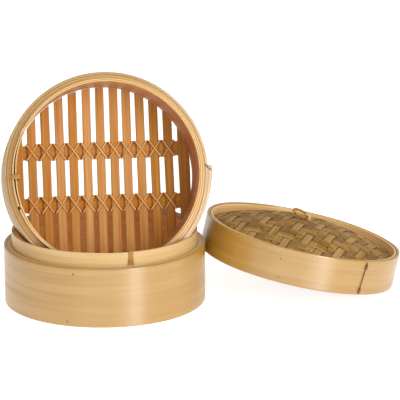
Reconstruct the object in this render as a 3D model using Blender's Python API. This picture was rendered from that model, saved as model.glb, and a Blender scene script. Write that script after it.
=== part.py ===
"""Two-tier bamboo steamer basket: a lower tier on the floor, an upper tier leaning in its mouth, a lid beside them."""

import math

import bmesh
import bpy
from mathutils import Matrix, Vector

# ---- sizes, in metres -------------------------------------------------------------------------------------------
GAP = 0.0003  # between pieces that touch
R_BAND = 0.1000  # outside of the tier's outer band
BAND_T = 0.0031
R_SPACER = R_BAND - BAND_T - GAP
R_SPIGOT = 0.0922  # outside of the inner ring that stands proud of the band
SPIGOT_T = 0.0027
R_INSIDE = R_SPIGOT - SPIGOT_T
BAND_H = 0.0580
SPIGOT_RISE = 0.0140
TOP_EDGE = 0.0009  # bevel of the bent strips' edges
RING_STEPS = 72

FLOOR_Z = 0.0200  # top of the slats above the band's bottom edge
SLAT_T = 0.0028
SLAT_W = 0.0088
BATTEN_T = 0.0024
BATTEN_W = 0.0145
BATTEN_V = 0.0262  # battens run this far each side of the middle
STRAND_W = 0.0014
STRAND_T = 0.0007
STRAND_OFF = 0.0010  # the two strands of a lashing pass each other by this much in a gap

LID_R = 0.1000
LID_H = 0.0350
LID_BAND_T = 0.0031
LID_LINER_T = 0.0024
HOOP_Z0, HOOP_Z1 = 0.0160, 0.0244  # hoop that carries the dome's edge
HOOP_T = 0.0030
DOME_EDGE_Z = 0.0265
DOME_APEX_Z = 0.0465
DOME_T = 0.0016
LOOP_RISE = 0.0150
LOOP_W = 0.0190
LOOP_CANE = 0.0011
LOOP_SPIN = math.radians(68)  # the loop's hinge runs away from the viewer
LOOP_TILT = math.radians(-73)  # and the loop lies over to the left

# ---- where the three assemblies stand ---------------------------------------------------------------------------
FRAME_AT = (-0.09703, -0.02450)  # moves the whole group so that its bounding box is centred
UPPER_AT = (-0.0042, 0.0272, 0.1157)
UPPER_YAW = math.radians(8.9)
UPPER_LEAN = math.radians(18.1)
LID_AT = (0.1922, 0.0475, 0.02131)
LID_LEAN = (math.radians(12.00), math.radians(-2.77))
SWING_LIFT = 0.0700  # the upper tier's swing ends with the tier level, this far above its seat

# centre of each slat across the floor, and how far its far end leans sideways
SLATS_UPPER = [(-83.0, 0.0), (-69.5, 0.4), (-55.6, 0.3), (-41.8, 0.2), (-28.6, 1.6), (-14.8, 2.2), (-1.4, 2.0),
               (12.2, 2.2), (25.2, 1.2), (38.8, 0.6), (52.6, 0.0), (66.4, 0.0), (80.4, 0.0)]
SLATS_LOWER = [(-82.6, 0.0), (-69.0, 0.2), (-55.0, -0.4), (-41.4, 0.8), (-27.6, 0.6), (-13.6, -0.5), (0.2, 0.3),
               (13.8, 0.9), (27.4, -0.6), (41.2, 0.2), (55.2, 0.0), (68.8, -0.4), (82.4, 0.0)]


def clear_scene():
    for obj in list(bpy.data.objects):
        bpy.data.objects.remove(obj)


def material(name, colour, roughness):
    mat = bpy.data.materials.new(name)
    mat.use_nodes = True
    shader = mat.node_tree.nodes["Principled BSDF"]
    shader.inputs["Base Color"].default_value = (*colour, 1.0)
    shader.inputs["Roughness"].default_value = roughness
    shader.inputs["Metallic"].default_value = 0.0
    return mat


COLOURS = {
    "band": ((0.66, 0.44, 0.20), 0.45),
    "ring": ((0.68, 0.47, 0.24), 0.45),
    "slat": ((0.52, 0.25, 0.07), 0.50),
    "cane": ((0.50, 0.30, 0.11), 0.55),
    "weave": ((0.30, 0.22, 0.11), 0.60),
    "stitch": ((0.16, 0.06, 0.02), 0.50),
}


def make_object(name, verts, faces, kind, place, smooth=True):
    """One closed piece: verts in its assembly's own frame, place carries them to the world."""
    mesh = bpy.data.meshes.new(name)
    mesh.from_pydata([tuple(v) for v in verts], [], faces)
    bm = bmesh.new()
    bm.from_mesh(mesh)
    bmesh.ops.recalc_face_normals(bm, faces=bm.faces)
    bm.to_mesh(mesh)
    bm.free()
    colour, roughness = COLOURS[kind]
    mesh.materials.append(material(name + "_mat", colour, roughness))
    obj = bpy.data.objects.new(name, mesh)
    bpy.context.scene.collection.objects.link(obj)
    obj.matrix_world = place
    if smooth:
        mesh.shade_smooth()
        mesh.set_sharp_from_angle(angle=math.radians(32))
    return obj


def hinge_empty(name, at, pieces):
    """An empty on a moving assembly's hinge, which carries its pieces."""
    empty = bpy.data.objects.new(name, None)
    empty.empty_display_size = 0.02
    empty.location = at
    bpy.context.scene.collection.objects.link(empty)
    bpy.context.view_layer.update()
    for obj in pieces:
        obj.parent = empty
        obj.matrix_parent_inverse = empty.matrix_world.inverted()


def revolve(profile, steps=RING_STEPS):
    """Verts and faces of a closed ring: profile is a loop of (radius, height)."""
    n = len(profile)
    verts, faces = [], []
    for i in range(steps):
        a = 2 * math.pi * i / steps
        verts += [Vector((r * math.cos(a), r * math.sin(a), z)) for r, z in profile]
    for i in range(steps):
        j = (i + 1) % steps
        for k in range(n):
            m = (k + 1) % n
            faces.append((i * n + k, j * n + k, j * n + m, i * n + m))
    return verts, faces


def hoop_profile(r_out, r_in, z0, z1, edge=0.0):
    """Section of a bent strip; edge bevels its two top corners."""
    if not edge:
        return [(r_out, z0), (r_out, z1), (r_in, z1), (r_in, z0)]
    return [(r_out, z0), (r_out, z1 - edge), (r_out - edge, z1), (r_in + edge, z1), (r_in, z1 - edge), (r_in, z0)]


def ring(name, kind, place, r_out, r_in, z0, z1, edge=0.0):
    """A bent strip as a closed hoop."""
    return make_object(name, *revolve(hoop_profile(r_out, r_in, z0, z1, edge)), kind, place)


def tube(path, radius, sides=6, closed=False):
    """Round cane along a path, its section carried along without twist."""
    n = len(path)
    verts, faces = [], []
    up = None
    for i, p in enumerate(path):
        back = path[(i - 1) % n] if closed or i else p
        ahead = path[(i + 1) % n] if closed or i < n - 1 else p
        run = (ahead - back).normalized()
        if up is None:
            up = Vector((0, 0, 1)) if abs(run.z) < 0.9 else Vector((0, 1, 0))
        up = (up - run * up.dot(run)).normalized()
        across = run.cross(up)
        for k in range(sides):
            a = 2 * math.pi * k / sides
            verts.append(p + (across * math.cos(a) + up * math.sin(a)) * radius)
    for i in range(n if closed else n - 1):
        j = (i + 1) % n
        for k in range(sides):
            m = (k + 1) % sides
            faces.append((i * sides + k, i * sides + m, j * sides + m, j * sides + k))
    if not closed:
        faces.append(tuple(reversed(range(sides))))
        faces.append(tuple((n - 1) * sides + k for k in range(sides)))
    return verts, faces


def slat(name, place, u, lean):
    """A long floor slat: ends follow the ring's wall, top edges eased."""
    reach = R_INSIDE - 0.0006
    half = SLAT_W / 2
    ease = 0.0006
    z0, z1 = FLOOR_Z - SLAT_T, FLOOR_Z
    verts, faces = [], []
    for end in (-1, 1):
        centre = u + end * lean / 2
        corners = []
        for s in (-1, 1):
            x = centre + s * half
            corners.append((x, end * math.sqrt(reach * reach - x * x)))
        (xa, ya), (xb, yb) = corners
        grade = (yb - ya) / (xb - xa)
        verts += [Vector((xa, ya, z0)), Vector((xb, yb, z0)), Vector((xb, yb, z1 - ease)),
                  Vector((xb - ease, yb - ease * grade, z1)), Vector((xa + ease, ya + ease * grade, z1)),
                  Vector((xa, ya, z1 - ease))]
    faces = [(0, 1, 2, 3, 4, 5), (11, 10, 9, 8, 7, 6)]
    faces += [(k, (k + 1) % 6, (k + 1) % 6 + 6, k + 6) for k in range(6)]
    return make_object(name, verts, faces, "slat", place, smooth=False)


def batten(name, place, v):
    """A cross batten under the slats, rounded on its lower side."""
    reach = R_INSIDE - 0.0006
    top = FLOOR_Z - SLAT_T - GAP
    low = top - BATTEN_T
    half = BATTEN_W / 2
    section = [(-half, top), (half, top), (half, low + 0.0008), (half - 0.0016, low),
               (-half + 0.0016, low), (-half, low + 0.0008)]
    verts = []
    for end in (-1, 1):
        for y, z in section:
            edge = v + math.copysign(half, v)
            verts.append(Vector((end * math.sqrt(reach * reach - edge * edge), v + y, z)))
    faces = [(0, 1, 2, 3, 4, 5), (11, 10, 9, 8, 7, 6)]
    faces += [(k, (k + 1) % 6, (k + 1) % 6 + 6, k + 6) for k in range(6)]
    return make_object(name, verts, faces, "slat", place, smooth=False)


def slat_line(slats, v):
    """Where each slat's centre lies at height v across the floor."""
    out = []
    for u, lean in slats:
        u, lean = u / 1000, lean / 1000
        reach = math.sqrt(max(R_INSIDE ** 2 - u * u, 1e-6))
        out.append(u + lean / 2 * v / reach)
    return out


def lashing(name, place, slats, v, turn):
    """One cane strand: diagonally over each slat, then back under the batten in the gap beside it."""
    centres = slat_line(slats, v)[1:-1]
    pitch = (centres[-1] - centres[0]) / (len(centres) - 1)
    gaps = [centres[0] - pitch / 2]
    gaps += [(a + b) / 2 for a, b in zip(centres, centres[1:])]
    gaps += [centres[-1] + pitch / 2]
    edge = BATTEN_W / 2 + GAP + STRAND_T
    over = FLOOR_Z + GAP + STRAND_T / 2
    under = FLOOR_Z - SLAT_T - GAP - BATTEN_T - GAP - STRAND_T / 2
    pass_over = STRAND_T + GAP
    lift = pass_over if turn > 0 else 0.0
    sink = pass_over if turn < 0 else 0.0
    path = []
    for i in range(len(gaps) - 1):
        a, b = gaps[i] + STRAND_OFF, gaps[i + 1] - STRAND_OFF
        path.append(Vector((a, v + turn * edge, over)))
        path.append(Vector(((a + b) / 2, v, over + lift)))
        path.append(Vector((b, v - turn * edge, over)))
        if i < len(gaps) - 2:
            c = gaps[i + 1] + STRAND_OFF
            path.append(Vector((b, v - turn * edge * 0.98, under - sink)))
            path.append(Vector((c, v + turn * edge * 0.98, under - sink)))
    return make_object(name, *lash_mesh(path), "cane", place, smooth=False)


def lash_mesh(path):
    """Strip with its width kept in the floor's plane on the flats and across the batten's edge on the turns."""
    verts, faces = [], []
    n = len(path)
    for i, p in enumerate(path):
        back = path[i - 1] if i else p
        ahead = path[i + 1] if i < n - 1 else p
        run_in = (p - back).normalized() if i else (ahead - p).normalized()
        run_out = (ahead - p).normalized() if i < n - 1 else run_in
        run = (run_in + run_out)
        run = run.normalized() if run.length > 1e-6 else run_in
        across = Vector((1, 0, 0))
        across = (across - run * across.dot(run)).normalized()
        up = across.cross(run).normalized()
        for s, t in ((-1, -1), (1, -1), (1, 1), (-1, 1)):
            verts.append(p + across * (s * STRAND_W / 2) + up * (t * STRAND_T / 2))
    for i in range(n - 1):
        for k in range(4):
            m = (k + 1) % 4
            faces.append((i * 4 + k, i * 4 + m, (i + 1) * 4 + m, (i + 1) * 4 + k))
    faces.append((3, 2, 1, 0))
    faces.append(tuple((n - 1) * 4 + k for k in range(4)))
    return verts, faces


def rim_stitch(name, place, angle, kind="cane"):
    """Cane stitch that closes the proud ring's lap: a flat strip over its lip, down both faces."""
    clear = GAP + 0.0005
    path = [(R_SPIGOT + clear, BAND_H + 0.0014), (R_SPIGOT + clear, BAND_H + SPIGOT_RISE + clear),
            (R_INSIDE - clear, BAND_H + SPIGOT_RISE + clear), (R_INSIDE - clear, BAND_H - 0.010)]
    half_t, half_w = 0.0004, 0.0028
    inner, outer = [], []
    signs = [(-1, 0), (-1, -1), (1, -1), (1, 0)]
    for (r, z), (sr, sz) in zip(path, signs):
        inner.append((r + sr * half_t, z + sz * half_t))
        outer.append((r - sr * half_t, z - sz * half_t))
    loop = inner + outer[::-1]
    verts, faces = [], []
    n = len(loop)
    for s in (-1, 1):
        for r, z in loop:
            verts.append(Vector((r, s * half_w, z)))
    faces = [tuple(range(n)), tuple(reversed(range(n, 2 * n)))]
    faces += [(k, (k + 1) % n, (k + 1) % n + n, k + n) for k in range(n)]
    turn = Matrix.Rotation(angle, 4, "Z")
    return make_object(name, verts, faces, kind, place @ turn, smooth=False)


def seam_stitch(name, place, r, z0, z1, angle, slant, width=0.0012, thick=0.0007):
    """A straight stitch up the outside of a band, leaning by slant."""
    path = []
    for i in range(5):
        t = i / 4
        a = angle + slant * (t - 0.5)
        rr = (r + GAP + thick / 2) / math.cos(math.pi / RING_STEPS)
        path.append(Vector((rr * math.cos(a), rr * math.sin(a), z0 + (z1 - z0) * t)))
    verts, faces = [], []
    for p in path:
        out = Vector((p.x, p.y, 0)).normalized()
        across = Vector((-out.y, out.x, 0))
        for s, t in ((-1, -1), (1, -1), (1, 1), (-1, 1)):
            verts.append(p + across * (s * width / 2) + out * (t * thick / 2))
    for i in range(4):
        for k in range(4):
            m = (k + 1) % 4
            faces.append((i * 4 + k, i * 4 + m, (i + 1) * 4 + m, (i + 1) * 4 + k))
    faces += [(3, 2, 1, 0), (16, 17, 18, 19)]
    return make_object(name, verts, faces, "stitch", place, smooth=False)


def tier(prefix, place, slats, stitch_angle):
    """A whole tier: three bent hoops, the slatted floor, its battens and their cane lashings."""
    ring(prefix + "_outer_band", "band", place, R_BAND, R_BAND - BAND_T, 0.0, BAND_H, TOP_EDGE)
    ring(prefix + "_spacer_hoop", "ring", place, R_SPACER, R_SPIGOT + 0.0005, 0.0006, BAND_H - 0.0006)
    ring(prefix + "_inner_ring", "ring", place, R_SPIGOT, R_INSIDE, SPIGOT_RISE + 0.0004,
         BAND_H + SPIGOT_RISE, TOP_EDGE)
    for i, (u, lean) in enumerate(slats):
        slat("%s_slat_%02d" % (prefix, i + 1), place, u / 1000, lean / 1000)
    for i, v in enumerate((-BATTEN_V, BATTEN_V)):
        batten("%s_batten_%d" % (prefix, i + 1), place, v)
        lashing("%s_lashing_%d_left" % (prefix, i + 1), place, slats, v, 1)
        lashing("%s_lashing_%d_right" % (prefix, i + 1), place, slats, v, -1)
    rim_stitch(prefix + "_rim_stitch", place, stitch_angle)


def dome(name, place):
    """The woven dome as one curved shell, its edge resting on the hoop."""
    r_edge = LID_R - LID_BAND_T - GAP - LID_LINER_T - 2 * GAP
    rise = DOME_APEX_Z - DOME_EDGE_Z
    radius = (r_edge ** 2 + rise ** 2) / (2 * rise)
    rings = 6
    outer, inner = [], []
    for k in range(1, rings + 1):
        r = r_edge * k / rings
        drop = radius - math.sqrt(radius ** 2 - r * r)
        outer.append((r, DOME_APEX_Z - drop))
        inner.append((r, DOME_APEX_Z - drop - DOME_T))
    steps = 48
    verts = [Vector((0, 0, DOME_APEX_Z)), Vector((0, 0, DOME_APEX_Z - DOME_T))]
    faces = []
    columns = outer + inner[::-1]
    n = len(columns)
    for i in range(steps):
        a = 2 * math.pi * i / steps
        verts += [Vector((r * math.cos(a), r * math.sin(a), z)) for r, z in columns]
    for i in range(steps):
        j = (i + 1) % steps
        faces.append((0, 2 + i * n, 2 + j * n))
        for k in range(n - 1):
            faces.append((2 + i * n + k, 2 + i * n + k + 1, 2 + j * n + k + 1, 2 + j * n + k))
        faces.append((1, 2 + j * n + n - 1, 2 + i * n + n - 1))
    return make_object(name, verts, faces, "weave", place)


def handle_pivot():
    """Axis of the handle loop in the lid's frame: it passes through the binding above the dome."""
    return Vector((0.0, 0.0, DOME_APEX_Z + 0.0030))


def handle_loop(name, place):
    """Cane loop held by the binding; its origin is on the swing axis."""
    path = []
    steps = 20
    for i in range(steps):
        a = 2 * math.pi * i / steps
        path.append(Vector((LOOP_W / 2 * math.sin(a), 0.0, LOOP_RISE / 2 * (1 - math.cos(a)))))
    verts, faces = tube(path, LOOP_CANE, sides=6, closed=True)
    here = place @ Matrix.Translation(handle_pivot()) @ Matrix.Rotation(LOOP_SPIN, 4, "Z") \
        @ Matrix.Rotation(LOOP_TILT, 4, "X")
    return make_object(name, verts, faces, "cane", here)


def handle_binding(name, place):
    """Cane staple through the dome: a small arch over the loop's lowest point."""
    path = []
    half = 0.0030
    base = DOME_APEX_Z + GAP + 0.0003
    top = DOME_APEX_Z + 0.0030 + LOOP_CANE + GAP + 0.0012
    for x, z in ((-half, base), (-half, top - 0.0012), (-half * 0.5, top), (half * 0.5, top), (half, top - 0.0012),
                 (half, base)):
        path.append(Vector((0.0, x, z)))
    verts, faces = tube(path, 0.0009, sides=6)
    here = place @ Matrix.Rotation(LOOP_SPIN, 4, "Z")
    return make_object(name, verts, faces, "cane", here)


def lid(place):
    ring("lid_outer_band", "band", place, LID_R, LID_R - LID_BAND_T, 0.0, LID_H, TOP_EDGE)
    liner_out = LID_R - LID_BAND_T - GAP
    liner_in = liner_out - LID_LINER_T
    ring("lid_liner_ring", "ring", place, liner_out, liner_in, 0.0010, LID_H, 0.0007)
    ring("lid_dome_hoop", "ring", place, liner_in - GAP, liner_in - GAP - HOOP_T, HOOP_Z0, HOOP_Z1)
    dome("lid_woven_dome", place)
    handle_binding("lid_handle_binding", place)
    handle_loop("lid_handle_loop", place)
    seam_stitch("lid_seam_stitch", place, LID_R, 0.0008, LID_H - 0.0012, math.radians(-53.5), math.radians(1.8))


def tier_place(at, yaw, lean):
    """Frame of a tier: +Z is its axis towards the mouth, +Y runs up the slats."""
    axis = Vector((math.sin(yaw) * math.cos(lean), -math.cos(yaw) * math.cos(lean), math.sin(lean)))
    side = Vector((0, 0, 1)).cross(axis).normalized()
    up = axis.cross(side)
    frame = Matrix((side, up, axis)).transposed().to_4x4()
    return Matrix.Translation((at[0] + FRAME_AT[0], at[1] + FRAME_AT[1], at[2])) @ frame


def swing_point(place):
    """Fixed point of the turn that carries the upper tier from its lean to level above its seat."""
    axis = (place.to_3x3() @ Vector((0, 0, 1))).normalized()
    hinge = axis.cross(Vector((0, 0, 1))).normalized()
    start = place.translation
    end = Vector((*FRAME_AT, BAND_H + SWING_LIFT))
    step = end - start
    step -= hinge * step.dot(hinge)
    angle = axis.angle(Vector((0, 0, 1)))
    return start + step / 2 + hinge.cross(step) / (2 * math.tan(angle / 2))


def lid_low_point(place):
    """Point of the lid's edge that rests on the surface."""
    axis = (place.to_3x3() @ Vector((0, 0, 1))).normalized()
    down = (axis * axis.z - Vector((0, 0, 1))).normalized()
    return place.translation + down * LID_R


def lid_place(at, lean):
    """Frame of the lid: +Z is its axis on the dome's side."""
    tx, ty = lean
    axis = Vector((math.sin(tx) * math.cos(ty), -math.sin(ty), math.cos(tx) * math.cos(ty)))
    side = Vector((math.cos(tx), 0, -math.sin(tx)))
    up = axis.cross(side)
    frame = Matrix((side, up, axis)).transposed().to_4x4()
    return Matrix.Translation((at[0] + FRAME_AT[0], at[1] + FRAME_AT[1], at[2])) @ frame


def main():
    clear_scene()
    tier("lower", Matrix.Translation((*FRAME_AT, 0)), SLATS_LOWER, math.radians(-71))
    upper_at = tier_place(UPPER_AT, UPPER_YAW, UPPER_LEAN)
    tier("upper", upper_at, SLATS_UPPER, math.radians(180.5))
    lid_at = lid_place(LID_AT, LID_LEAN)
    lid(lid_at)
    pieces = [obj for obj in bpy.context.scene.objects if obj.type == "MESH"]
    hinge_empty("upper_tier_hinge", swing_point(upper_at), [o for o in pieces if o.name.startswith("upper_")])
    hinge_empty("lid_hinge", lid_low_point(lid_at), [o for o in pieces if o.name.startswith("lid_")])


main()
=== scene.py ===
"""Looks of the two-tier bamboo steamer basket: bent hoops, lashed slats, a woven lid, and a plain studio."""

import math
import random

import bmesh
import bpy
import numpy as np
from mathutils import Matrix, Vector


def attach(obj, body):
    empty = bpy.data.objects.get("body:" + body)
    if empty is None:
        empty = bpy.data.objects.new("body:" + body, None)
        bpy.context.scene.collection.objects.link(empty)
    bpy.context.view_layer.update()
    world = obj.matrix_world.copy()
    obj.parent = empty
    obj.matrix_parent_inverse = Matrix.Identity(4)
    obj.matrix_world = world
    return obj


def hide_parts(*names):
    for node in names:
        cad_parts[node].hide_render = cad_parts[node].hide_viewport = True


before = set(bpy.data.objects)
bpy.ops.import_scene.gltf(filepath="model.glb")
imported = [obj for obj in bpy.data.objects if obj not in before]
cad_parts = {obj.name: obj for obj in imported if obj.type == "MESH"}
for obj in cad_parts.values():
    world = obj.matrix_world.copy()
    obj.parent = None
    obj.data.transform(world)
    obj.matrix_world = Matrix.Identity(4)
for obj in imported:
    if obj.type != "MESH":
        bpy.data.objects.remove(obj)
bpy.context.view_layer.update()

# ---- sizes, in metres, the same as in the part -----------------------------------------------------------
GAP = 0.0003
R_BAND, BAND_T, BAND_H = 0.1000, 0.0031, 0.0580
R_SPACER = R_BAND - BAND_T - GAP
R_SPIGOT, SPIGOT_T, SPIGOT_RISE = 0.0922, 0.0027, 0.0140
R_INSIDE = R_SPIGOT - SPIGOT_T
FLOOR_Z, SLAT_T, SLAT_W = 0.0200, 0.0028, 0.0088
BATTEN_T, BATTEN_W, BATTEN_V = 0.0024, 0.0145, 0.0262
STRAND_W, STRAND_T, STRAND_OFF = 0.0014, 0.0007, 0.0010
SHOWN_W, SHOWN_T = STRAND_W * 1.4, STRAND_T * 1.1
LID_R, LID_H, LID_BAND_T, LID_LINER_T = 0.1000, 0.0350, 0.0031, 0.0024
HOOP_Z0, HOOP_Z1, HOOP_T = 0.0160, 0.0244, 0.0030
DOME_EDGE_Z, DOME_APEX_Z = 0.0265, 0.0465
LOOP_RISE, LOOP_W, LOOP_CANE = 0.0150, 0.0190, 0.0011
LOOP_SPIN, LOOP_TILT = math.radians(68), math.radians(-73)

FRAME_AT = (-0.09703, -0.02450)
UPPER_AT = (-0.0042, 0.0272, 0.1157)
UPPER_YAW, UPPER_LEAN = math.radians(8.9), math.radians(18.1)
LID_AT = (0.1922, 0.0475, 0.02131)
LID_LEAN = (math.radians(12.00), math.radians(-2.77))

# where each slat lies across the floor, and how far its far end leans sideways, in millimetres as in the part
SLATS_UPPER = [(-83.0, 0.0), (-69.5, 0.4), (-55.6, 0.3), (-41.8, 0.2), (-28.6, 1.6), (-14.8, 2.2),
               (-1.4, 2.0), (12.2, 2.2), (25.2, 1.2), (38.8, 0.6), (52.6, 0.0), (66.4, 0.0), (80.4, 0.0)]
SLATS_LOWER = [(-82.6, 0.0), (-69.0, 0.2), (-55.0, -0.4), (-41.4, 0.8), (-27.6, 0.6), (-13.6, -0.5),
               (0.2, 0.3), (13.8, 0.9), (27.4, -0.6), (41.2, 0.2), (55.2, 0.0), (68.8, -0.4), (82.4, 0.0)]


def tier_place(at, yaw, lean):
    axis = Vector((math.sin(yaw) * math.cos(lean), -math.cos(yaw) * math.cos(lean), math.sin(lean)))
    side = Vector((0, 0, 1)).cross(axis).normalized()
    turned = Matrix((side, axis.cross(side), axis)).transposed().to_4x4()
    return Matrix.Translation((at[0] + FRAME_AT[0], at[1] + FRAME_AT[1], at[2])) @ turned


def lid_place(at, lean):
    tx, ty = lean
    axis = Vector((math.sin(tx) * math.cos(ty), -math.sin(ty), math.cos(tx) * math.cos(ty)))
    side = Vector((math.cos(tx), 0, -math.sin(tx)))
    turned = Matrix((side, axis.cross(side), axis)).transposed().to_4x4()
    return Matrix.Translation((at[0] + FRAME_AT[0], at[1] + FRAME_AT[1], at[2])) @ turned


PLACE = {
    "lower": Matrix.Translation((*FRAME_AT, 0)),
    "upper": tier_place(UPPER_AT, UPPER_YAW, UPPER_LEAN),
    "lid": lid_place(LID_AT, LID_LEAN),
}
BODY = {"lower": "lower_tier", "upper": "upper_tier", "lid": "lid"}


# ---- materials -------------------------------------------------------------------------------------------
def srgb(*rgb):
    return tuple((c / 255 / 12.92) if c <= 10 else ((c / 255 + 0.055) / 1.055) ** 2.4 for c in rgb)


# Dark brown mixed in by a per-vertex attribute: the real dark of nail heads and dark cane, and painted shade
# along cane and strip edges, where lid strips dive, on the last floor slats and on the shell under the weave.
STAIN_AND_SHADE_COLOUR = srgb(74, 42, 20)
BRUSHED_IOR, QUARTER_TURN = 1.7, 0.25
FIBRE_DEPTH = 0.0003
GRAIN_JUMP = 37.0  # how far apart in the noise two strips' grains lie, per unit of tone


class Nodes:
    """Short calls for a material's node tree."""

    def __init__(self, tree):
        self.tree = tree

    def add(self, kind, **values):
        node = self.tree.nodes.new(kind)
        for key, value in values.items():
            setattr(node, key, value)
        return node

    def link(self, a, b):
        self.tree.links.new(a, b)

    def put(self, socket, value):
        if isinstance(value, bpy.types.NodeSocket):
            self.link(value, socket)
        else:
            socket.default_value = value

    def math(self, operation, a, b=0.0, clamp=False):
        node = self.add("ShaderNodeMath", operation=operation, use_clamp=clamp)
        self.put(node.inputs[0], a)
        self.put(node.inputs[1], b)
        return node.outputs[0]

    def noise(self, vector, scale, detail=3.0, rough=0.55):
        stretch = self.add("ShaderNodeVectorMath", operation="MULTIPLY")
        self.link(vector, stretch.inputs[0])
        stretch.inputs[1].default_value = scale
        node = self.add("ShaderNodeTexNoise")
        node.inputs["Scale"].default_value = 1.0
        node.inputs["Detail"].default_value = detail
        node.inputs["Roughness"].default_value = rough
        self.link(stretch.outputs[0], node.inputs["Vector"])
        return node.outputs["Fac"]

    def span(self, value, low, high, to_low=0.0, to_high=1.0):
        node = self.add("ShaderNodeMapRange")
        node.inputs["From Min"].default_value = low
        node.inputs["From Max"].default_value = high
        node.inputs["To Min"].default_value = to_low
        node.inputs["To Max"].default_value = to_high
        self.link(value, node.inputs["Value"])
        return node.outputs[0]

    def mix(self, factor, a, b):
        node = self.add("ShaderNodeMix", data_type="RGBA")
        self.put(node.inputs[0], factor)
        self.put(node.inputs[6], a)
        self.put(node.inputs[7], b)
        return node.outputs[2]

    def attribute(self, name):
        return self.add("ShaderNodeAttribute", attribute_name=name).outputs["Fac"]


def bamboo(name, pale, deep, line, rough=0.45, lines=0.5, spread=0.16, bump=0.25, sheen=0.4,
           brushed=0.0, warm_pale=(206, 132, 64), warm_deep=(170, 96, 42)):
    """Split bamboo or cane: fibres, streaks and patches run along it, and every strip has its own tone."""
    mat = bpy.data.materials.new(name)
    mat.use_nodes = True
    n = Nodes(mat.node_tree)
    shader = mat.node_tree.nodes["Principled BSDF"]
    uv = n.add("ShaderNodeUVMap", uv_map="grain").outputs[0]
    tone, stain = n.attribute("tone"), n.attribute("stain")
    parts = n.add("ShaderNodeSeparateXYZ")
    n.link(uv, parts.inputs[0])
    here = n.add("ShaderNodeCombineXYZ")
    n.link(parts.outputs[0], here.inputs[0])
    n.link(parts.outputs[1], here.inputs[1])
    n.link(n.math("MULTIPLY", tone, GRAIN_JUMP), here.inputs[2])
    spot = here.outputs[0]
    fine = n.noise(spot, (22, 2400, 1), 3.0, 0.6)
    broad = n.noise(spot, (6.0, 230, 1), 3.0, 0.55)
    thread = n.noise(spot, (9.0, 620, 1.7), 2.0, 0.5)
    cloud = n.noise(spot, (16.0, 34, 2.3), 3.0, 0.55)
    grain = n.math("ADD", n.math("MULTIPLY", fine, 0.38), n.math("MULTIPLY", broad, 0.62))
    colour = n.mix(n.span(grain, 0.36, 0.66), (*pale, 1), (*deep, 1))
    colour = n.mix(n.math("MULTIPLY", n.span(cloud, 0.42, 0.72), 0.35), colour, (*deep, 1))
    dark_lines = n.math("MULTIPLY", n.span(thread, 0.60, 0.74), lines)
    colour = n.mix(dark_lines, colour, (*line, 1))
    shade = n.add("ShaderNodeHueSaturation")
    n.link(colour, shade.inputs["Color"])
    n.link(n.span(tone, 0.0, 1.0, 1 - spread, 1 + spread), shade.inputs["Value"])
    n.link(n.span(tone, 0.0, 1.0, 1.10, 0.92), shade.inputs["Saturation"])
    warmth = n.attribute("warm")
    warm_tones = n.mix(n.span(broad, 0.35, 0.65), (*srgb(*warm_pale), 1), (*srgb(*warm_deep), 1))
    warm = n.mix(warmth, shade.outputs[0], warm_tones)
    # dark brown mixed in: real dark marks, and painted shade at edges, dives and the last slats
    stained = n.mix(stain, warm, (*STAIN_AND_SHADE_COLOUR, 1))
    n.link(stained, shader.inputs["Base Color"])
    n.link(n.span(grain, 0.3, 0.7, rough - 0.07, rough + 0.12), shader.inputs["Roughness"])
    shader.inputs["Specular IOR Level"].default_value = sheen
    if brushed:
        shader.inputs["Anisotropic"].default_value = brushed
        shader.inputs["IOR"].default_value = BRUSHED_IOR
        shader.inputs["Anisotropic Rotation"].default_value = QUARTER_TURN
        tangent = n.add("ShaderNodeTangent", direction_type="UV_MAP", uv_map="grain")
        n.link(tangent.outputs[0], shader.inputs["Tangent"])
    height = n.math("ADD", n.math("MULTIPLY", fine, 0.5), n.math("MULTIPLY", broad, 0.8))
    relief = n.add("ShaderNodeBump")
    relief.inputs["Strength"].default_value = bump
    relief.inputs["Distance"].default_value = FIBRE_DEPTH
    n.link(height, relief.inputs["Height"])
    n.link(relief.outputs[0], shader.inputs["Normal"])
    return mat


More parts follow.
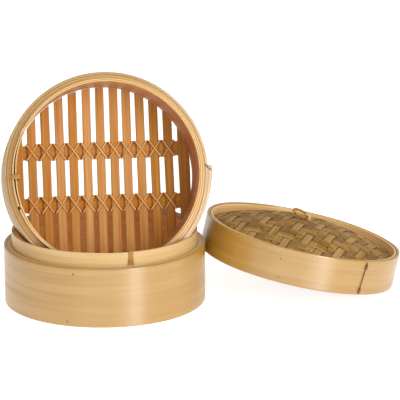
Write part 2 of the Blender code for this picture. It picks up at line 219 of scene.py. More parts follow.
MATERIALS = {
    "band": bamboo("band_bamboo", srgb(180, 138, 56), srgb(166, 120, 42), srgb(136, 90, 28),
                   rough=0.32, lines=0.5, spread=0.05, bump=0.2, sheen=1.0, brushed=0.9),
    "ring": bamboo("hoop_bamboo", srgb(212, 171, 108), srgb(194, 148, 84), srgb(166, 114, 56),
                   rough=0.42, lines=0.3, spread=0.06, bump=0.18, sheen=0.5, brushed=0.8),
    # painted light: paler tones than the hoop bamboo, for the inside of the lid's rim that the key light does
    # not reach
    "liner": bamboo("liner_bamboo", srgb(242, 202, 140), srgb(224, 176, 112), srgb(190, 136, 74),
                    rough=0.42, lines=0.3, spread=0.06, bump=0.18, sheen=0.3, brushed=0.8),
    "inner": bamboo("inner_bamboo", srgb(224, 188, 128), srgb(204, 160, 98), srgb(172, 120, 62),
                    rough=0.42, lines=0.3, spread=0.06, bump=0.2, sheen=0.3, brushed=0.8),
    # painted light: the lower tier's inside wall, in shade, gets much paler and brighter warm tones than the
    # upper's
    "inner_low_lit": bamboo("inner_bamboo_lower_lit", srgb(210, 178, 124), srgb(192, 152, 96), srgb(162, 114, 60),
                        rough=0.42, lines=0.3, spread=0.06, bump=0.2, sheen=0.3, brushed=0.8,
                        warm_pale=(252, 184, 106), warm_deep=(236, 160, 84)),
    "slat": bamboo("slat_bamboo", srgb(196, 146, 80), srgb(170, 114, 52), srgb(124, 70, 26),
                   rough=0.5, lines=0.7, spread=0.12, bump=0.3, sheen=0.1),
    "batten": bamboo("batten_bamboo", srgb(206, 140, 62), srgb(172, 104, 38), srgb(116, 64, 20),
                     rough=0.5, lines=0.5, spread=0.12, bump=0.3, sheen=0.15),
    "cane": bamboo("cane", srgb(230, 170, 102), srgb(204, 138, 72), srgb(140, 82, 36),
                   rough=0.42, lines=0.4, spread=0.10, bump=0.2, sheen=0.25),
    "handle": bamboo("handle_cane", srgb(200, 146, 72), srgb(154, 102, 40), srgb(112, 68, 24),
                     rough=0.42, lines=0.4, spread=0.10, bump=0.2),
    "weave": bamboo("woven_bamboo", srgb(180, 140, 76), srgb(144, 104, 48), srgb(94, 64, 28),
                    rough=0.5, lines=0.6, spread=0.24, bump=0.4, sheen=0.2),
    "dark": bamboo("dark_cane", srgb(104, 42, 20), srgb(66, 24, 10), srgb(36, 12, 6),
                   rough=0.45, lines=0.4, spread=0.10, bump=0.2),
}


# ---- shapes ----------------------------------------------------------------------------------------------
def run_lengths(points):
    """How far it is from the first point to each one after it, and round to the first again."""
    return np.concatenate([[0], np.cumsum(np.linalg.norm(np.roll(points, -1, 0) - points, axis=1))])


class Shape:
    """Closed strips gathered into one mesh, with the grain in metres along and across each strip."""

    def __init__(self):
        self.verts, self.faces, self.uvs, self.tone, self.stain, self.warm = [], [], [], [], [], []
        self.count = 0

    def add(self, sections, closed=False, tone=0.5, stain=0.0, warm=0.0):
        """sections: one row of points per step along the strip, every row running round its outline."""
        sections = np.asarray(sections, float)
        n, m = sections.shape[:2]
        base, self.count = self.count, self.count + n * m
        self.verts.append(sections.reshape(-1, 3))
        along, across = run_lengths(sections.mean(1)), run_lengths(sections[0])
        for i in range(n if closed else n - 1):
            here, ahead = base + i * m, base + (i + 1) % n * m
            for k in range(m):
                beside = (k + 1) % m
                self.faces.append((here + k, ahead + k, ahead + beside, here + beside))
                self.uvs += [(along[i], across[k]), (along[i + 1], across[k]),
                             (along[i + 1], across[k + 1]), (along[i], across[k + 1])]
        if not closed:
            for i, order in ((0, range(m - 1, -1, -1)), (n - 1, range(m))):
                self.faces.append(tuple(base + i * m + k for k in order))
                self.uvs += [(along[i], across[k]) for k in order]
        self.tone.append(np.broadcast_to(tone, (n, m)))
        self.stain.append(np.broadcast_to(stain, (n, m)))
        self.warm.append(np.broadcast_to(warm, (n, m)))
        return self

    def make(self, name, place, material, angle=38):
        """The gathered strips as an object, with edges sharper than the angle left sharp."""
        mesh = bpy.data.meshes.new(name)
        mesh.from_pydata(np.concatenate(self.verts).tolist(), [], self.faces)
        uv = mesh.uv_layers.new(name="grain")
        uv.data.foreach_set("uv", np.asarray(self.uvs, np.float32).ravel())
        for key, rows in (("tone", self.tone), ("stain", self.stain), ("warm", self.warm)):
            layer = mesh.attributes.new(key, "FLOAT", "POINT")
            layer.data.foreach_set("value", np.concatenate([r.ravel() for r in rows]).astype(np.float32))
        bm = bmesh.new()
        bm.from_mesh(mesh)
        bmesh.ops.recalc_face_normals(bm, faces=bm.faces)
        bm.to_mesh(mesh)
        bm.free()
        mesh.materials.append(material)
        mesh.shade_smooth()
        mesh.set_sharp_from_angle(angle=math.radians(angle))
        obj = bpy.data.objects.new(name, mesh)
        bpy.context.scene.collection.objects.link(obj)
        obj.matrix_world = place
        return obj


def fit(obj, body, node):
    """The object moves with its body and takes its node's place in the frame."""
    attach(obj, body)
    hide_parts(node)
    return obj


def rounded(w, h, rad, k=3, pitch=0.006):
    """Outline of a strip's section, w by h about its centre, with points along its long sides."""
    rad = min(rad, w * 0.49, h * 0.49)
    corners = []
    for cx, cy, a0 in ((w / 2 - rad, h / 2 - rad, 0), (rad - w / 2, h / 2 - rad, 90),
                       (rad - w / 2, rad - h / 2, 180), (w / 2 - rad, rad - h / 2, 270)):
        corners.append([(cx + rad * math.cos(math.radians(a0 + 90 * i / k)),
                         cy + rad * math.sin(math.radians(a0 + 90 * i / k))) for i in range(k + 1)])
    out = []
    for i, arc in enumerate(corners):
        out += arc
        a, b = np.array(arc[-1]), np.array(corners[(i + 1) % 4][0])
        length = np.linalg.norm(b - a)
        cuts = int(length / pitch)
        if cuts:
            near = min(0.15, 0.6 * rad / length)
            for t in [near] + [(j + 1) / (cuts + 1) for j in range(cuts)] + [1 - near]:
                out.append(tuple(a + (b - a) * t))
    return np.array(out)


def wave(a, seed, amp, turns=(2, 3, 5, 7)):
    """A slight waver of a hand-bent strip, of whole turns so that it closes round a hoop."""
    rng = random.Random(seed)
    return amp * sum(np.sin(k * np.asarray(a) + rng.uniform(0, 6.28)) / math.sqrt(k) for k in turns)


def hoop(shape, r_out, r_in, z0, z1, seed, edge=0.0009, tone=0.5, start=0.0, turn=2 * math.pi, steps=216,
         wobble=0.00012, rise=0.0002, flare=None, nest=0, inside=0.0):
    """A strip bent round; nest is shared by hoops that touch, so that they waver together."""
    closed = turn > 2 * math.pi - 1e-6
    a = start + turn * np.arange(steps if closed else steps + 1) / steps
    section = rounded(r_out - r_in, z1 - z0, edge)
    out = (r_out + r_in) / 2 + section[None, :, 0] + wave(a, nest, wobble)[:, None]
    high = section[None, :, 1] / (z1 - z0) + 0.5
    if flare is not None:
        out = out + flare(a[:, None], high, section[None, :, 0] / (r_out - r_in) + 0.5)
    z = z0 + high * (z1 - z0) + wave(a, seed, rise)[:, None] * high
    rows = np.stack([out * np.cos(a)[:, None], out * np.sin(a)[:, None], z], -1)
    inner_face = np.clip(0.5 - section[None, :, 0] / (r_out - r_in) * 2.2, 0, 1) * (high < 0.97)
    if callable(inside):
        inside = inside(a)[:, None]
    return shape.add(rows, closed, tone, 0.0, np.broadcast_to(inner_face * inside, rows.shape[:2]))


def swept(path, section, across_hint=None, closed=False):
    """Rows of a strip along a path: section is (across, up) about the path."""
    path = np.asarray(path, float)
    n = len(path)
    ahead, back = np.roll(path, -1, 0), np.roll(path, 1, 0)
    if not closed:
        ahead[-1], back[0] = path[-1], path[0]
    run = ahead - back
    run /= np.maximum(np.linalg.norm(run, axis=1), 1e-9)[:, None]
    if across_hint is None:
        rows, up = [], np.array([0.0, 0, 1]) if abs(run[0][2]) < 0.9 else np.array([0.0, 1, 0])
        for i in range(n):
            up = up - run[i] * up.dot(run[i])
            up /= np.linalg.norm(up)
            side = np.cross(run[i], up)
            rows.append(path[i] + section[:, :1] * side + section[:, 1:] * up)
        return np.array(rows)
    hint = np.broadcast_to(np.asarray(across_hint, float), (n, 3))
    side = hint - run * (hint * run).sum(1)[:, None]
    side /= np.maximum(np.linalg.norm(side, axis=1), 1e-9)[:, None]
    up = np.cross(side, run)
    return path[:, None] + section[None, :, :1] * side[:, None] + section[None, :, 1:] * up[:, None]


def eased(path, reach):
    """The path with each corner turned through a short curve."""
    path = [np.asarray(p, float) for p in path]
    out = [path[0]]
    for a, p, b in zip(path, path[1:], path[2:]):
        da, db = a - p, b - p
        ra = min(reach, 0.45 * np.linalg.norm(da))
        rb = min(reach, 0.45 * np.linalg.norm(db))
        s, e = p + da / np.linalg.norm(da) * ra, p + db / np.linalg.norm(db) * rb
        for t in (0.0, 0.33, 0.67, 1.0):
            out.append(s * (1 - t) ** 2 + 2 * p * t * (1 - t) + e * t * t)
    out.append(path[-1])
    return out


def shaded_cane_edges(rows, dark=0.85):
    """Painted shade along a split cane's two edges."""
    m = rows.shape[1]
    side = np.abs(np.cos(np.linspace(0, 2 * math.pi, m, endpoint=False)))
    return np.broadcast_to(np.where(side > 0.7, dark, 0.0), rows.shape[:2])


def cane_section(w, t, k=12):
    """Outline of a strand of cane: an oval, w wide and t thick."""
    a = np.linspace(0, 2 * math.pi, k, endpoint=False)
    return np.stack([np.cos(a) * w / 2, np.sin(a) * t * 0.5], -1)


def peg(shape, r, angle, z, size=0.0009, long=1.0, proud=0.00025):
    """Head of a bamboo nail in a band."""
    a = np.linspace(0, 2 * math.pi, 10, endpoint=False)
    rows = []
    for depth, k in ((-0.0006, 1.0), (proud * 0.7, 1.0), (proud, 0.7)):
        th = angle + np.cos(a) * size * k / r
        rr = r + depth
        rows.append(np.stack([rr * np.cos(th), rr * np.sin(th), z + np.sin(a) * size * k * long], -1))
    shape.add(rows, False, 0.3, 0.92)


# ---- tiers -----------------------------------------------------------------------------------------------
LAP_FROM, LAP_TURN = math.radians(-58), math.radians(61)
LAP_GROWS, LAP_OPEN = math.radians(56), 0.0036
RING_END, RING_TURN = math.radians(198.5), math.radians(358)
SPRING_REACH, SPRING_OUT = math.radians(24), 0.0004
GIVE_AT, GIVE_REACH, GIVE_IN = math.radians(181), math.radians(34), 0.0014
SLAT_REACH = R_INSIDE - 0.0006


def outer_band(p, place, body, nest):
    """The tall outside wall with its nails; the upper one's lap stands open and ends in a dark cane."""
    shape = Shape()
    hoop(shape, R_BAND, R_BAND - BAND_T, 0.0, BAND_H, nest + 1, 0.0006, 0.5, nest=nest)
    if p == "lower":
        peg(shape, R_BAND, math.radians(-104.4), 0.0525, 0.0009, 1.3)
        peg(shape, R_BAND, math.radians(-108.2), 0.0046, 0.0009, 1.0)
        peg(shape, R_BAND, math.radians(-112.5), 0.0235, 0.0006, 0.6, 0.0001)
    else:
        def lap(a, high, side):
            return LAP_OPEN * side * np.clip((a - LAP_FROM) / LAP_GROWS, 0, 1)
        hoop(shape, R_BAND + 0.0003, R_BAND - 0.0010, 0.0008, BAND_H - 0.0002, nest + 9, 0.0005, 0.62,
             start=LAP_FROM, turn=LAP_TURN, steps=60, nest=nest, flare=lap)
        path = [(0.0972, 0.0062, BAND_H + 0.0006), (0.0995, 0.0035, BAND_H + 0.0011),
                (0.1022, 0.0008, BAND_H + 0.0008), (0.1044, -0.0002, BAND_H - 0.0040)]
        shape.add(swept(eased(path, 0.001), cane_section(0.0013, 0.0008), (0.7, 0.7, 0)), False, 0.3, 0.75)
        peg(shape, R_BAND, math.radians(88.5), BAND_H - 0.006, 0.0009, 1.2)
    fit(shape.make(p + "_band", place, MATERIALS["band"]), body, p + "_outer_band")


def spacer(p, place, body, nest):
    """Two strips between the walls, which show as the shoulder."""
    shape = Shape()
    inner, mid = R_SPIGOT + 0.0003, (R_SPACER + R_SPIGOT + 0.0005) / 2
    hoop(shape, R_SPACER + 0.0002, mid + 0.00003, 0.0006, BAND_H - 0.0002, nest + 1, 0.0002, 0.62, nest=nest)
    hoop(shape, mid - 0.00003, inner, 0.0006, BAND_H - 0.0003, nest + 1, 0.0002, 0.5, nest=nest)
    fit(shape.make(p + "_spacer", place, MATERIALS["ring"]), body, p + "_spacer_hoop")


def inner_ring(p, place, body, nest):
    """The inside wall in two layers; the upper tier's are sprung apart where the outer one ends."""
    shape = Shape()
    z0, z1 = SPIGOT_RISE + 0.0004, BAND_H + SPIGOT_RISE
    mid = (R_SPIGOT + R_INSIDE) / 2
    if p == "lower":
        hoop(shape, R_SPIGOT, mid + 0.0001, z0, z1, nest + 4, 0.0007, 0.55, nest=nest)
        hoop(shape, mid - 0.0001, R_INSIDE, z0, z1 - 0.0003, nest + 5, 0.0006, 0.48, nest=nest, inside=0.75)
    else:
        def spring(a, high, side):
            return SPRING_OUT * high * np.clip((a - (RING_END - SPRING_REACH)) / SPRING_REACH, 0, 1) ** 2

        def give(a, high, side):
            near = np.abs((a - GIVE_AT + math.pi) % (2 * math.pi) - math.pi) / GIVE_REACH
            return -GIVE_IN * np.clip(1 - near, 0, 1) ** 1.2 * high ** 3
        hoop(shape, R_SPIGOT, mid + 0.0001, z0, z1, nest + 4, 0.0007, 0.55, nest=nest,
             start=RING_END - RING_TURN, turn=RING_TURN, flare=spring)
        # painted shade: the inside face takes more of the darker warm tones towards a = 0, where the wall
        # faces away from the key light
        hoop(shape, mid - 0.0001, R_INSIDE, z0, z1 - 0.0003, nest + 5, 0.0006, 0.48, nest=nest, flare=give,
             inside=lambda a: 0.72 + 0.28 * np.clip(np.cos(a), 0, 1))
    material = MATERIALS["inner" if p == "upper" else "inner_low_lit"]
    fit(shape.make(p + "_ring", place, material), body, p + "_inner_ring")


def slats(p, place, body, table):
    """Floor slats with ends cut to the wall; the last ones are painted darker as shade and the upper tier's
    last is wider.
    """
    for i, (u, lean) in enumerate(table):
        rng = random.Random(100 * len(p) + i + (7 if p == "upper" else 0))
        u, lean = u / 1000, lean / 1000
        section = rounded(SLAT_W + rng.uniform(-0.0002, 0.0002), SLAT_T - 0.0003, 0.0009, pitch=0.002)
        xo, zo = section[:, 0], section[:, 1]
        if p == "upper" and i == 12:
            xo = xo * 1.3 + 0.0012
        zo = zo + np.where(zo > 0, 0.0003 * (1 - (2 * xo / SLAT_W) ** 2), 0.0)
        t = np.linspace(-1, 1, 31)
        x = u + lean / 2 * t[:, None] + xo[None] * (1 + 0.02 * np.sin(3 * t + rng.uniform(0, 6)))[:, None] \
            + wave(t, rng.random(), 0.00008, (2, 4))[:, None]
        y = t[:, None] * np.sqrt(np.maximum(SLAT_REACH ** 2 - x ** 2, 1e-8))
        z = FLOOR_Z - SLAT_T / 2 + zo[None] + wave(t, rng.random(), 0.00004, (2, 3))[:, None] + 0 * x
        # painted shade: the last slats, in the shade of the inside wall, get a lower tone and dark brown
        # mixed in
        painted_shade = np.clip((i - 7) / 5, 0, 1) * (0.7 if p == "upper" else 0.2)
        tone = rng.uniform(0.25, 0.95) * (1 - painted_shade)
        warm = rng.uniform(0.2, 0.7) * np.clip(0.5 + xo / SLAT_W * rng.choice((-2, 1, 2)), 0, 1)
        shape = Shape().add(np.stack([x, y, z], -1), False, tone, painted_shade * 0.35, warm)
        fit(shape.make("%s_floor_slat_%02d" % (p, i + 1), place, MATERIALS["slat"]), body,
            "%s_slat_%02d" % (p, i + 1))


def battens(p, place, body):
    for i, v in enumerate((-BATTEN_V, BATTEN_V)):
        section = rounded(BATTEN_W, BATTEN_T, 0.0011, pitch=0.002)
        yo = section[:, 0]
        t = np.linspace(-1, 1, 41)
        y = v + yo[None] * (1 + 0.02 * np.sin(9 * t + i))[:, None]
        x = t[:, None] * np.sqrt(SLAT_REACH ** 2 - y ** 2)
        z = FLOOR_Z - SLAT_T - GAP - BATTEN_T / 2 + section[None, :, 1] + 0 * x
        shape = Shape().add(np.stack([x, y, z], -1), False, 0.35 + 0.3 * i)
        fit(shape.make("%s_cross_batten_%d" % (p, i + 1), place, MATERIALS["batten"]), body,
            "%s_batten_%d" % (p, i + 1))


def slat_line(table, v):
    """Where the slats' centre lines are, v from the middle of the floor along them."""
    out = []
    for u, lean in table:
        reach = math.sqrt(max(R_INSIDE ** 2 - (u / 1000) ** 2, 1e-6))
        out.append(u / 1000 + lean / 2000 * v / reach)
    return out


def lashings(p, place, body, table):
    """Split cane, crossed over every slat and passed under the batten in the gaps."""
    edge = BATTEN_W / 2 + GAP + STRAND_T
    over = FLOOR_Z + GAP + STRAND_T / 2
    under = FLOOR_Z - SLAT_T - GAP - BATTEN_T - GAP - STRAND_T / 2
    for b, v in enumerate((-BATTEN_V, BATTEN_V)):
        centres = slat_line(table, v)[1:-1]
        pitch = (centres[-1] - centres[0]) / (len(centres) - 1)
        gaps = [centres[0] - pitch / 2] + [(c + d) / 2 for c, d in zip(centres, centres[1:])]
        gaps.append(centres[-1] + pitch / 2)
        for side, turn in (("left", 1), ("right", -1)):
            rng = random.Random(b * 2 + turn + len(p))
            lift = STRAND_T + GAP if turn > 0 else 0.0
            sink = STRAND_T + GAP if turn < 0 else 0.0
            path = []
            for i in range(len(gaps) - 1):
                s, e = gaps[i] + STRAND_OFF, gaps[i + 1] - STRAND_OFF
                stray = rng.uniform(-0.0006, 0.0006)
                path += [(s, v + turn * edge, over), ((s + e) / 2, v + stray, over + lift),
                         (e, v - turn * edge, over)]
                if i < len(gaps) - 2:
                    c = gaps[i + 1] + STRAND_OFF
                    path += [(e, v - turn * edge * 0.98, under - sink),
                             (c, v + turn * edge * 0.98, under - sink)]
            rows = swept(eased(path, 0.0009), cane_section(SHOWN_W, SHOWN_T), (1, 0, 0))
            shape = Shape().add(rows, False, 0.4 + 0.3 * (turn > 0), shaded_cane_edges(rows))
            fit(shape.make("%s_cane_%d_%s" % (p, b + 1, side), place, MATERIALS["cane"]), body,
                "%s_lashing_%d_%s" % (p, b + 1, side))


def rim_stitch(p, place, body, angle):
    """Strands of cane side by side over the proud ring's lip."""
    shape = Shape()
    clear = GAP + 0.0004
    outside, inside, lip = R_SPIGOT + clear, R_INSIDE - clear, BAND_H + SPIGOT_RISE + clear
    flare, give = (1.0, 0.0) if p == "lower" else (0.6, 0.0040)
    strands = ((-0.0021, -0.0030), (-0.0007, -0.0010), (0.0007, 0.0012), (0.0021, 0.0029))
    for k, (top, foot) in enumerate(strands):
        path = [(outside, foot * flare, BAND_H + 0.0010), (outside, top * 0.8, BAND_H + 0.008),
                (outside, top * 0.8, lip), (inside - give, top * 0.8, lip - 0.0002),
                (inside - give * 0.4, top, BAND_H - 0.0090)]
        rows = swept(eased(path, 0.0009), cane_section(0.0013, 0.0008), (0, 1, 0))
        shape.add(rows, False, 0.3 + 0.1 * k, shaded_cane_edges(rows, 0.8))
    turned = place @ Matrix.Rotation(angle, 4, "Z")
    fit(shape.make(p + "_rim_lashing", turned, MATERIALS["handle"]), body, p + "_rim_stitch")


def tier(p, table, stitch_angle, nest):
    place, body = PLACE[p], BODY[p]
    outer_band(p, place, body, nest)
    spacer(p, place, body, nest)
    inner_ring(p, place, body, nest)
    slats(p, place, body, table)
    battens(p, place, body)
    lashings(p, place, body, table)
    rim_stitch(p, place, body, stitch_angle)


# ---- lid -------------------------------------------------------------------------------------------------
R_DOME = LID_R - LID_BAND_T - GAP - LID_LINER_T - 2 * GAP
RISE = DOME_APEX_Z - DOME_EDGE_Z
DOME_RADIUS = (R_DOME ** 2 + RISE ** 2) / (2 * RISE)
WEAVE_EDGE, WEAVE_LAY = R_DOME - 0.0006, math.radians(-18)
PITCHES = (0.0115, 0.0086)  # of the pairs of narrow strips, and of the single wide strips across them
STRIP_W, STRIP_T, STRIP_LIFT = (0.0053, 0.0075), 0.0006, 0.0007
HALF_PAIR = 0.00285


def dome_z(r):
    return DOME_APEX_Z - (DOME_RADIUS - np.sqrt(DOME_RADIUS ** 2 - r ** 2))


def dome_normal(x, y):
    return np.stack([x, y, np.sqrt(DOME_RADIUS ** 2 - x * x - y * y)], -1) / DOME_RADIUS


def strip_level(s, i, family):
    """1 where a strip passes over, -1 where it passes under, and a slope between; two over, two under."""
    other = PITCHES[1 - family]
    crossings = int(WEAVE_EDGE / other) + 3
    level = np.zeros_like(s)
    for c in range(-crossings, crossings + 1):
        on = (c - i) % 4 < 2 if family == 0 else (i - c) % 4 >= 2
        level += (1.0 if on else -1.0) * np.clip(2.3 - np.abs(s / other - c) * 3.8, 0, 1)
    return np.clip(level, -1, 1)


def weave_strip(shape, rng, family, i, offset):
    """One split-bamboo strip over the dome, offset from its middle line, with painted shade along its edges
    and where it dives.
    """
    half = math.sqrt(WEAVE_EDGE ** 2 - offset ** 2) - 0.0005
    s = np.linspace(-half, half, max(12, int(half / 0.0011)))
    level = strip_level(s, i, family)
    w = (STRIP_W[family] + rng.uniform(-0.0004, 0.0002)) / 2
    outline = np.array([(w, 0.0), (w * 0.92, STRIP_T * 0.4), (w * 0.5, STRIP_T * 0.6),
                        (-w * 0.5, STRIP_T * 0.6), (-w * 0.92, STRIP_T * 0.4), (-w, 0.0),
                        (-w * 0.92, -STRIP_T / 2), (w * 0.92, -STRIP_T / 2)])
    lay_x, lay_y = math.cos(WEAVE_LAY), math.sin(WEAVE_LAY)
    along = (lay_x, lay_y) if family == 0 else (-lay_y, lay_x)
    px = along[0] * s[:, None] - along[1] * (offset + outline[None, :, 0])
    py = along[1] * s[:, None] + along[0] * (offset + outline[None, :, 0])
    r = np.sqrt(px ** 2 + py ** 2)
    scale = np.minimum(1.0, (WEAVE_EDGE + 0.0002) / np.maximum(r, 1e-6))
    px, py = px * scale, py * scale
    up = level[:, None] * STRIP_LIFT + outline[None, :, 1]
    base = dome_z(np.sqrt(px ** 2 + py ** 2)) - 0.0010
    rows = np.stack([px, py, base], -1) + dome_normal(px, py) * up[..., None]
    tone = rng.uniform(0.15, 0.75) if family == 0 else rng.uniform(0.55, 0.95)
    # painted shade along both edges, and deeper where the strip dives under
    stain = np.zeros((len(s), len(outline)))
    stain[:, [0, 5]] = 0.6 if family == 0 else 0.35
    stain += (np.clip(-level, 0, 1) * 0.4)[:, None]
    shape.add(rows, False, tone, np.clip(stain, 0, 1))


def painted_shade_shell(shape):
    """Thin dark shell under the strips, so that no light shows between them: painted shade in the gaps."""
    a = np.linspace(0, 2 * math.pi, 96, endpoint=False)
    top = [(R_DOME * k / 12, -0.0027) for k in range(1, 13)]
    underside = [(R_DOME * k / 12, -0.0030) for k in range(12, 0, -1)]
    rows = [np.stack([r * np.cos(a), r * np.sin(a), dome_z(r) + d + 0 * a], -1) for r, d in top + underside]
    shape.add(rows, False, 0.2, 0.9)


def weave(place, body):
    """Two sets of split-bamboo strips in a two-over, two-under twill, over a dark shell of painted shade."""
    shape = Shape()
    rng = random.Random(5)
    for family, halves in ((0, (-HALF_PAIR, HALF_PAIR)), (1, (0.0,))):
        count = int(WEAVE_EDGE / PITCHES[family]) + 1
        for i in range(-count, count + 1):
            for from_middle in halves:
                offset = i * PITCHES[family] + from_middle + rng.uniform(-0.0002, 0.0002)
                if abs(offset) <= WEAVE_EDGE - 0.002:
                    weave_strip(shape, rng, family, i, offset)
    painted_shade_shell(shape)
    fit(shape.make("lid_weave", place, MATERIALS["weave"], 50), body, "lid_woven_dome")


def lid_hoops(place, body, nest=41):
    """The lid's band with two nails, its liner, and the hoop that carries the dome."""
    shape = Shape()
    hoop(shape, LID_R, LID_R - LID_BAND_T, 0.0, LID_H, nest + 1, 0.0011, 0.55, nest=nest)
    peg(shape, LID_R, math.radians(-104.4), 0.0237, 0.0007, 1.3)
    peg(shape, LID_R, math.radians(-103.4), 0.0056, 0.0007, 1.0)
    fit(shape.make("lid_band", place, MATERIALS["band"]), body, "lid_outer_band")
    out = LID_R - LID_BAND_T - GAP
    inn = out - LID_LINER_T
    shape = Shape()
    hoop(shape, out, inn, 0.0010, LID_H - 0.0004, nest + 2, 0.0008, 0.42, nest=nest)
    fit(shape.make("lid_liner", place, MATERIALS["liner"]), body, "lid_liner_ring")
    shape = Shape()
    hoop(shape, inn - GAP, inn - GAP - HOOP_T, HOOP_Z0, HOOP_Z1, nest + 3, 0.0008, 0.40, nest=nest)
    fit(shape.make("lid_hoop", place, MATERIALS["ring"]), body, "lid_dome_hoop")


def lid_stitch(place, body):
    """Dark strand up the band with a small loop at each end."""
    shape = Shape()
    mid, slant = math.radians(-53.5), math.radians(1.8)
    r = LID_R + GAP + 0.0005
    path = []
    for i in range(15):
        t = i / 14
        a = mid + slant * (t - 0.5)
        path.append((r * math.cos(a), r * math.sin(a), 0.0009 + (LID_H - 0.0022) * t))
    shape.add(swept(path, cane_section(0.0008, 0.0008), (-math.sin(mid), math.cos(mid), 0)), False, 0.4)
    proud = r + 0.0004
    for t, size in ((0.12, 0.0021), (0.86, 0.0024)):
        ring = []
        for i in range(16):
            b = 2 * math.pi * i / 16
            a = mid + slant * (t - 0.5) + size * 0.55 * math.cos(b) / r
            z = 0.0012 + (LID_H - 0.0024) * t + size * 1.3 * math.sin(b)
            ring.append((proud * math.cos(a), proud * math.sin(a), z))
        shape.add(swept(ring, cane_section(0.0005, 0.0005), None, True), True, 0.7)
    fit(shape.make("lid_seam_strand", place, MATERIALS["dark"]), body, "lid_seam_stitch")


def handle(place):
    """Loop of twisted cane, and the cane tie that holds it to the dome."""
    pivot_z, spin = DOME_APEX_Z + 0.0030, Matrix.Rotation(LOOP_SPIN, 4, "Z")
    here = place @ Matrix.Translation((0, 0, pivot_z)) @ spin @ Matrix.Rotation(LOOP_TILT, 4, "X")
    shape = Shape()
    for strand in (0, 1):
        path = []
        for i in range(90):
            a = 2 * math.pi * i / 90
            out, twist = LOOP_CANE * 0.42, 9 * a + strand * math.pi
            k = math.cos(twist) * out
            path.append(((LOOP_W / 2 + k) * math.sin(a), math.sin(twist) * out,
                         LOOP_RISE / 2 - (LOOP_RISE / 2 + k) * math.cos(a)))
        rows = swept(path, cane_section(LOOP_CANE * 1.5, LOOP_CANE * 1.5), None, True)
        shape.add(rows, True, 0.4 + 0.3 * strand)
    fit(shape.make("handle_ring", here, MATERIALS["handle"]), "lid_handle", "lid_handle_loop")
    shape = Shape()
    base = DOME_APEX_Z + GAP + 0.0003
    top = pivot_z + LOOP_CANE + GAP + 0.0012
    for k, x in enumerate((-0.0018, 0.0, 0.0018)):
        half = 0.0034 - 0.0003 * abs(k - 1)
        path = [(x, -half, base), (x * 0.9, -half, top - 0.0012), (x * 0.8, 0, top + 0.0002),
                (x * 0.9, half, top - 0.0012), (x, half, base)]
        rows = swept(eased(path, 0.0013), cane_section(0.0021, 0.0015), (1, 0, 0))
        shape.add(rows, False, 0.7 + 0.1 * k, shaded_cane_edges(rows, 0.25))
    tie = shape.make("handle_tie", place @ spin, MATERIALS["inner"])
    fit(tie, "lid", "lid_handle_binding")


# ---- studio ----------------------------------------------------------------------------------------------
FLOOR_HALF, FLOOR_DROP = 6, 0.0005


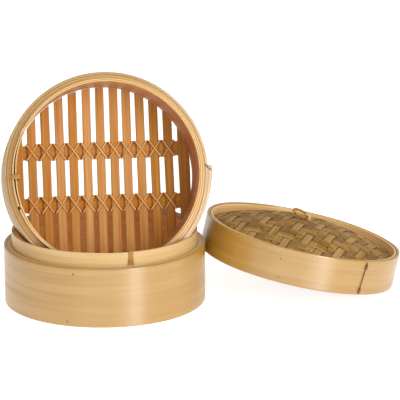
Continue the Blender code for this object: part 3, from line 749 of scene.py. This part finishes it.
def studio():
    """White background, pale floor and four softboxes."""
    scene = bpy.context.scene
    scene.view_settings.view_transform = "Standard"
    world = bpy.data.worlds.new("studio")
    scene.world = world
    world.use_nodes = True
    n = Nodes(world.node_tree)
    back = world.node_tree.nodes["Background"]
    seen = n.add("ShaderNodeBackground")
    seen.inputs["Color"].default_value = (1, 1, 1, 1)
    seen.inputs["Strength"].default_value = 1.05
    back.inputs["Color"].default_value = (1.0, 0.98, 0.95, 1)
    back.inputs["Strength"].default_value = 0.53
    choose = n.add("ShaderNodeMixShader")
    n.link(n.add("ShaderNodeLightPath").outputs["Is Camera Ray"], choose.inputs[0])
    n.link(back.outputs[0], choose.inputs[1])
    n.link(seen.outputs[0], choose.inputs[2])
    n.link(choose.outputs[0], world.node_tree.nodes["World Output"].inputs["Surface"])

    mesh = bpy.data.meshes.new("studio_floor")
    corners = [(x * FLOOR_HALF, y * FLOOR_HALF, -FLOOR_DROP) for x, y in ((-1, -1), (1, -1), (1, 1), (-1, 1))]
    mesh.from_pydata(corners, [], [(0, 1, 2, 3)])
    floor = bpy.data.objects.new("studio_floor", mesh)
    scene.collection.objects.link(floor)
    mat = bpy.data.materials.new("pale_floor")
    mat.use_nodes = True
    shader = mat.node_tree.nodes["Principled BSDF"]
    m = Nodes(mat.node_tree)
    where = m.add("ShaderNodeTexCoord").outputs["Object"]
    patches = m.span(m.noise(where, (3, 3, 3), 2.0), 0.3, 0.7)
    tint = m.mix(patches, (0.60, 0.60, 0.60, 1), (0.64, 0.64, 0.64, 1))
    m.link(tint, shader.inputs["Base Color"])
    shader.inputs["Roughness"].default_value = 0.8
    shader.inputs["Specular IOR Level"].default_value = 0.0
    shader.inputs["Emission Color"].default_value = (1, 1, 1, 1)
    shader.inputs["Emission Strength"].default_value = 0.84
    mesh.materials.append(mat)

    def softbox(name, azimuth, elevation, distance, wide, tall, watts, colour=(1, 1, 1)):
        """A rectangle of light towards the object, placed by angles in degrees from the front."""
        light = bpy.data.lights.new(name, "AREA")
        light.shape, light.size, light.size_y = "RECTANGLE", wide, tall
        light.energy, light.color = watts, colour
        obj = bpy.data.objects.new(name, light)
        scene.collection.objects.link(obj)
        a, e = math.radians(azimuth), math.radians(elevation)
        way = Vector((math.sin(a) * math.cos(e), -math.cos(a) * math.cos(e), math.sin(e)))
        obj.location = way * distance + Vector((0, 0, 0.08))
        obj.rotation_mode = "QUATERNION"
        obj.rotation_quaternion = way.to_track_quat("Z", "Y")

    softbox("key_right", 35, 22, 2.3, 0.60, 1.7, 27, (0.94, 0.98, 1.0))
    softbox("fill_left", -12, 16, 2.4, 1.5, 1.0, 6)
    softbox("front", 22, 14, 2.6, 1.1, 0.9, 8)
    softbox("top", 0, 70, 1.9, 1.6, 1.6, 4)


def camera():
    """Seen from the front and a little above, with a long lens."""
    turn, el, roll = math.radians(0.775), math.radians(14.78), math.radians(-0.057)
    distance, aim_x, aim_z, lens_mm = 2.1135, 0.09487, 0.10016, 192.05
    back = Vector((0, -math.cos(el), math.sin(el)))
    right = (-back).cross(Vector((0, 0, 1))).normalized()
    up = back.cross(right)
    tilted = math.cos(roll) * right + math.sin(roll) * up, math.cos(roll) * up - math.sin(roll) * right
    spin = Matrix.Rotation(turn, 3, "Z")
    axes = [spin @ v for v in (*tilted, back)]
    data = bpy.data.cameras.new("camera")
    data.lens, data.sensor_width = lens_mm, 36
    data.clip_end = 20
    obj = bpy.data.objects.new("camera", data)
    bpy.context.scene.collection.objects.link(obj)
    at = spin @ (Vector((aim_x, 0, aim_z)) + back * distance) + Vector((*FRAME_AT, 0))
    obj.matrix_world = Matrix.Translation(at) @ Matrix(axes).transposed().to_4x4()
    bpy.context.scene.camera = obj


tier("lower", SLATS_LOWER, math.radians(-71.0), 11)
tier("upper", SLATS_UPPER, math.radians(180.5), 23)
lid_hoops(PLACE["lid"], "lid")
weave(PLACE["lid"], "lid")
lid_stitch(PLACE["lid"], "lid")
handle(PLACE["lid"])
studio()
camera()
